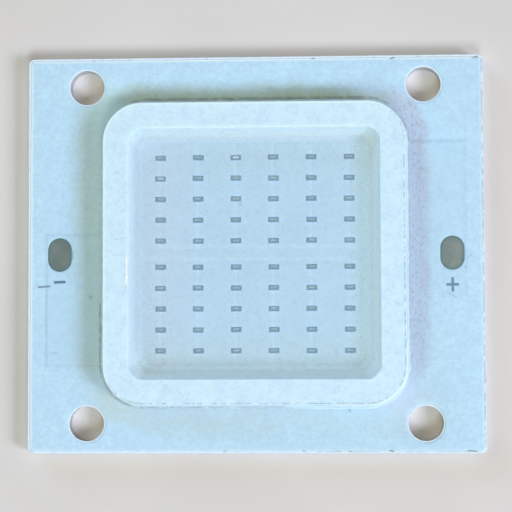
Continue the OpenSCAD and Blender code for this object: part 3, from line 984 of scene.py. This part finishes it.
def make_frame():
    """The moulded frame, ring by ring up its outside, across its top and down the well's wall."""
    rings, shares = [], []

    def add(outline, z, rim=0.0, dirt=0.0, lip=0.0, wall=0.0):
        rings.append(at_height(outline, z))
        shares.append((rim, dirt, lip, wall))

    shoulder_z = FRAME_TOP - FRAME_EDGE
    for t in np.linspace(0, 1, 6):
        half = FRAME_FOOT + (FRAME_SHOULDER - FRAME_FOOT) * t
        add(round_square(half), FRAME_Z + (shoulder_z - FRAME_Z) * t, rim=t ** 4)
    for a in np.linspace(0, pi / 2, 6)[1:]:
        half = FRAME_SHOULDER - FRAME_EDGE * (1 - cos(a))
        add(round_square(half), shoulder_z + FRAME_EDGE * sin(a), rim=1.0)
    outer, inner = rings[-1][:, :2], cut_square(WELL_TOP + WELL_ROUND)
    for t in (0.025, 0.05, 0.075, 0.1, 0.25, 0.45, 0.65, 0.85, 0.95, 1):
        # Painted highlight at the top's outer edge, fading across the top
        rim = max(0.0, 1 - t / RIM_T, 0.14 - t / 3)
        dirt = max(0.0, 1 - abs(t - DIRT_T) / DIRT_HALF_T)
        add(outer + (inner - outer) * t, FRAME_TOP, rim, dirt, lip=max(0.0, t * 10 - 9))
    drop = WELL_ROUND * 0.9
    for t in np.linspace(0, 1, 8)[1:]:
        half = WELL_TOP + WELL_ROUND * (1 - t) ** 2 - WELL_SLOPE * drop * t ** 2
        add(cut_square(half), FRAME_TOP - drop * t ** 2, lip=1.0)
    for t in np.linspace(0, 1, 7)[1:]:
        z = FRAME_TOP - drop + (FRAME_Z - FRAME_TOP + drop) * t
        add(cut_square(WELL_FLOOR + WELL_SLOPE * (z - FRAME_Z)), z, wall=min(1.0, 1.6 * t))
    points = np.vstack(rings)
    for p in points:
        lift = (p[2] - FRAME_Z) / (FRAME_TOP - FRAME_Z)
        p[:2] *= 1 - abs(lift * uneven(*p[:2], FRAME_RAGGED)) / FRAME_SHOULDER
        p[2] -= lift * (FRAME_SAG + uneven(*p[:2], FRAME_WARP))
    size = len(rings[0])
    rim, dirt, lip, wall = np.repeat(shares, size, axis=0).T
    x, y, _ = points.T
    toward_lamp = np.maximum(x, -y)
    # Dark dashes, and less painted highlight, on the side toward the lamp
    dirty = ramp(toward_lamp, 12, 14)
    shaded = ramp(toward_lamp, 9, 12)
    upper = ramp(y - np.abs(x), 0, 3)
    left = ramp(-x - np.abs(y), 0, 3)
    brink = np.maximum(0, 1 - 1.6 * wall) * (wall > 0)
    # Painted highlights on the lip and on the brink of the well's wall, on the left and upper sides
    rim += lip * (0.2 + 0.35 * upper) + brink * (0.3 * left + 0.15 * upper)
    # Painted light on the right, lower and upper walls of the well, and painted shade on its lit left wall
    piece("frame_moulding", points, loft(len(rings), size, closed=True), [frame_finish()], "frame", ["frame"],
          rim=rim * (1 - 0.9 * dirty), dirt=dirt * dirty, wall=wall,
          pale=wall * np.maximum(shaded, 0.6 * upper), tint=wall * (1 - shaded) * (1 - upper))


def make_adhesive():
    """The bead outside the frame's foot, the bond under the frame, and the fillet inside the well."""
    toe, toe_z = GLUE_FOOT - GLUE_TOE, MASK_TOP + GLUE_TOE_T
    wall = FRAME_FOOT - GLUE_UNDER
    profile = [(GLUE_FOOT, BASE_TOP), (GLUE_FOOT, MASK_TOP), (toe, toe_z)]
    for t in np.linspace(0, 1, 6)[1:]:
        profile.append((toe - GLUE_RUN * t, toe_z + (GLUE_TOP - toe_z) * t ** GLUE_CURVE))
    profile += [(wall, GLUE_TOP - 2 * GLUE_SEAT), (wall, FRAME_Z - GLUE_SEAT)]
    floor = MASK_LOW - GLUE_SEAT - FRAME_Z
    fillet = [(0.0, -GLUE_SEAT), (WELL_SLOPE * FILLET_UP + FILLET_BEHIND, FILLET_UP)]
    for t in np.linspace(0, 1, 9):
        high = (1 - t) ** 2
        out = WELL_SLOPE * FILLET_UP * high - FILLET_OUT * t ** 2
        fillet.append((out, FILLET_UP * high + floor * (1 - high)))
    rings = [at_height(round_square(half), z) for half, z in profile]
    rings += [at_height(cut_square(WELL_FLOOR + out), FRAME_Z + z) for out, z in fillet]
    rings.append(at_height(cut_square(WELL_FLOOR - FILLET_OUT), BASE_TOP))
    for ring, (half, z) in zip(rings, profile[:-2]):
        for p in ring:
            spread = uneven(*p[:2], GLUE_SPREAD) - GLUE_DRAWN_IN
            p[:2] *= 1 + spread * (half - wall) / (GLUE_FOOT - wall) / GLUE_FOOT
    size, within = len(rings[0]), len(rings) - len(profile)
    outer = [ramp(half, FRAME_FOOT + 0.06, FRAME_FOOT + 0.18) for half, z in profile]
    outer = np.repeat(outer + [0.0] * within, size)
    inner = np.repeat([0.0] * len(profile) + [1.0] * within, size)
    points = np.vstack(rings)
    x, y, _ = points.T
    # Painted light on the fillet's right and lower sides, which are in shade
    pale = np.maximum(0.55 * ramp(x, 9, 12), 1.2 * ramp(y, -9, -12))
    dusty = ramp(x, 14.6, 15) * ramp(y, -11, -8)
    clean = ramp(x, 2, 7) * ramp(y, -13, -15)
    outer *= (1 - 0.7 * clean) * (1 + 0.6 * dusty)
    piece("adhesive_bead", points, loft(len(rings), size, closed=True), [glue_finish()], "adhesive",
          ["frame_adhesive"], outside=outer, inside=inner, pale=inner * pale)


def make_fill():
    """The clear fill, with an edge that climbs the well's wall."""
    rim_z = FILL_TOP + MENISCUS
    wall = WELL_FLOOR + WELL_SLOPE * (rim_z - FRAME_Z)
    foot = cut_square(WELL_FLOOR + FILL_SEAT)
    rings = [at_height(foot, MASK_LOW - FILL_SEAT), at_height(foot, FRAME_Z)]
    rings.append(at_height(cut_square(wall + FILL_SEAT), rim_z))
    depth = [1.0, 1.0, 0.0]
    for inset in FILL_INSETS:
        z = FILL_TOP + MENISCUS * exp(-inset / MENISCUS_REACH)
        rings.append(at_height(cut_square(wall - inset), z))
        depth.append(min(1.0, inset / (WELL_TOP - WELL_FLOOR)))
    size = len(rings[0])
    fill = piece("clear_fill", np.vstack(rings), capped(len(rings), size), [fill_finish()], "fill",
                 ["encapsulant"], depth=np.repeat(depth, size))
    fill.visible_shadow = fill.visible_diffuse = False


# Dies

def die_ring(length, width, z, shift):
    """A rectangle with its corners cut off a little, moved along Y by a shift."""
    x, y, c = length / 2, width / 2, DIE_CUT
    ring = [(x, c - y), (x, y - c), (x - c, y), (c - x, y)]
    ring += [(-px, -py) for px, py in ring]
    return [(px, py + shift, z) for px, py in ring]


def make_dies():
    """All dies as one mesh: a body on its contact side, with a sunk window in its top."""
    chance = random.Random(60)
    body_z = DIE_Z + MESA_T
    mesa = (DIE_L - 2 * MESA_INSET, DIE_W - 2 * MESA_INSET)
    levels = [
        (*mesa, DIE_Z, 0),
        (*mesa, body_z, 0),
        (DIE_L, DIE_W, body_z, 0),
        (DIE_L, DIE_W, DIE_TOP - DIE_BEVEL, 0),
        (DIE_L - 2 * DIE_BEVEL, DIE_W - 2 * DIE_BEVEL, DIE_TOP, 0),
        (*WINDOW, DIE_TOP, WINDOW_Y),
        (WINDOW[0] - WINDOW_SLOPE, WINDOW[1] - WINDOW_SLOPE, DIE_TOP - WINDOW_SINK, WINDOW_Y),
    ]
    materials = [die_edge_finish(), die_window_finish(), die_side_finish()]
    edge, window, side = range(3)
    points, faces, indices, tones = [], [], [], []
    for r, y in enumerate(ROW_Y):
        for c, x in enumerate(COLUMN_X):
            faces += shifted(capped(len(levels), 8), len(points))
            indices += [side] * 32 + [edge] * 16 + [side, window]
            turn = radians(chance.uniform(-DIE_TURN, DIE_TURN))
            dx = chance.uniform(-DIE_SHIFT_X, DIE_SHIFT_X)
            dy = chance.uniform(-DIE_SHIFT_Y, DIE_SHIFT_Y)
            # Each die's own random lightness, or a painted highlight for the listed dies
            tone = BRIGHT_DIES.get((r, c), max(0.0, chance.gauss(0.0, DIE_TONE)))
            for level in levels:
                for px, py, pz in die_ring(*level):
                    points.append((x + dx + px * cos(turn) - py * sin(turn),
                                   y + dy + px * sin(turn) + py * cos(turn), pz))
                    tones.append(tone)
    dies = piece("dies", points, faces, materials, "die", DIE_ROWS, indices, flat=True, tone=tones)
    dies.visible_shadow = False


make_core()
make_base()
make_mask()
make_pad("plus_pad", PAD_X, solder_finish("solder_right", (106, 124, 122), (124, 136, 132)))
make_pad("minus_pad", -PAD_X, solder_finish("solder_left", (86, 106, 105), (102, 116, 112)))
make_marks()
make_adhesive()
make_frame()
make_dies()
make_fill()

# CAD solids that stay as they are get their finish here
joint_solder = solder_finish("joint_solder", (150, 154, 156), (176, 180, 182))
foil = copper_finish()
for name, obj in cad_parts.items():
    if name in COPPER_NODES or name.startswith("solder_row"):
        for material_slot in obj.material_slots:
            material_slot.material = foil if name in COPPER_NODES else joint_solder


# Stage, in metres

def make_lamp(name, direction, size, share):
    """A soft lamp that gives a level surface that share of full light, in red, green and blue."""
    lamp = bpy.data.lights.new(name, "AREA")
    lamp.shape = "RECTANGLE"
    lamp.size, lamp.size_y = size
    lamp.color = share
    toward = Vector(direction).normalized()
    lamp.energy = pi ** 2 * LAMP_DISTANCE ** 2 / toward.z
    obj = placed(name, lamp)
    obj.location = toward * LAMP_DISTANCE
    obj.rotation_mode = "QUATERNION"
    obj.rotation_quaternion = toward.to_track_quat("Z", "Y")


def make_world():
    """Ambient light on the object, and a plain background where the camera, gloss or glass sees past it."""
    world = bpy.data.worlds.new("studio")
    bpy.context.scene.world = world
    world.use_nodes = True
    nodes, links = world.node_tree.nodes, world.node_tree.links
    nodes.clear()
    path = nodes.new("ShaderNodeLightPath")
    seen = path.outputs["Is Camera Ray"]
    for ray in ("Is Glossy Ray", "Is Transmission Ray"):
        either = nodes.new("ShaderNodeMath")
        either.operation = "MAXIMUM"
        links.new(seen, either.inputs[0])
        links.new(path.outputs[ray], either.inputs[1])
        seen = either.outputs[0]
    mix = nodes.new("ShaderNodeMixShader")
    links.new(seen, mix.inputs[0])
    for i, colour in enumerate((AMBIENT, BACKGROUND)):
        shade = nodes.new("ShaderNodeBackground")
        shade.inputs["Color"].default_value = (*colour, 1)
        links.new(shade.outputs[0], mix.inputs[i + 1])
    links.new(mix.outputs[0], nodes.new("ShaderNodeOutputWorld").inputs["Surface"])


def make_floor():
    mesh = bpy.data.meshes.new("floor")
    corners = [(x * FLOOR_HALF, y * FLOOR_HALF, 0) for x, y in ((-1, -1), (1, -1), (1, 1), (-1, 1))]
    mesh.from_pydata(corners, [], [(0, 1, 2, 3)])
    low, high = FLOOR_COLOURS
    f = Finish("pale_floor", low)
    f.lay(f.between(f.grain(0.05, 3), 0.3, 0.7), high)
    mesh.materials.append(f.surface(0.8))
    floor = placed("floor", mesh)


def make_camera():
    """A camera that sees a given width at its target."""
    data = bpy.data.cameras.new("camera")
    data.sensor_width = CAMERA_SENSOR
    data.lens = CAMERA_SENSOR * CAMERA_DISTANCE / CAMERA_WIDTH
    data.clip_start, data.clip_end = 0.005, 10
    camera = placed("camera", data)
    back = Vector(CAMERA_FROM).normalized()
    right = Vector((0, 1, 0)).cross(back).normalized()
    turn = Matrix((right, back.cross(right), back)).transposed()
    turn = turn @ Matrix.Rotation(radians(CAMERA_ROLL), 3, "Z")
    camera.location = Vector(CAMERA_TARGET) + back * CAMERA_DISTANCE
    camera.rotation_euler = turn.to_euler()
    bpy.context.scene.camera = camera


make_world()
make_floor()
for lamp_name, settings in LAMPS.items():
    make_lamp(lamp_name, *settings)
make_camera()
bpy.context.scene.view_settings.view_transform = "Standard"
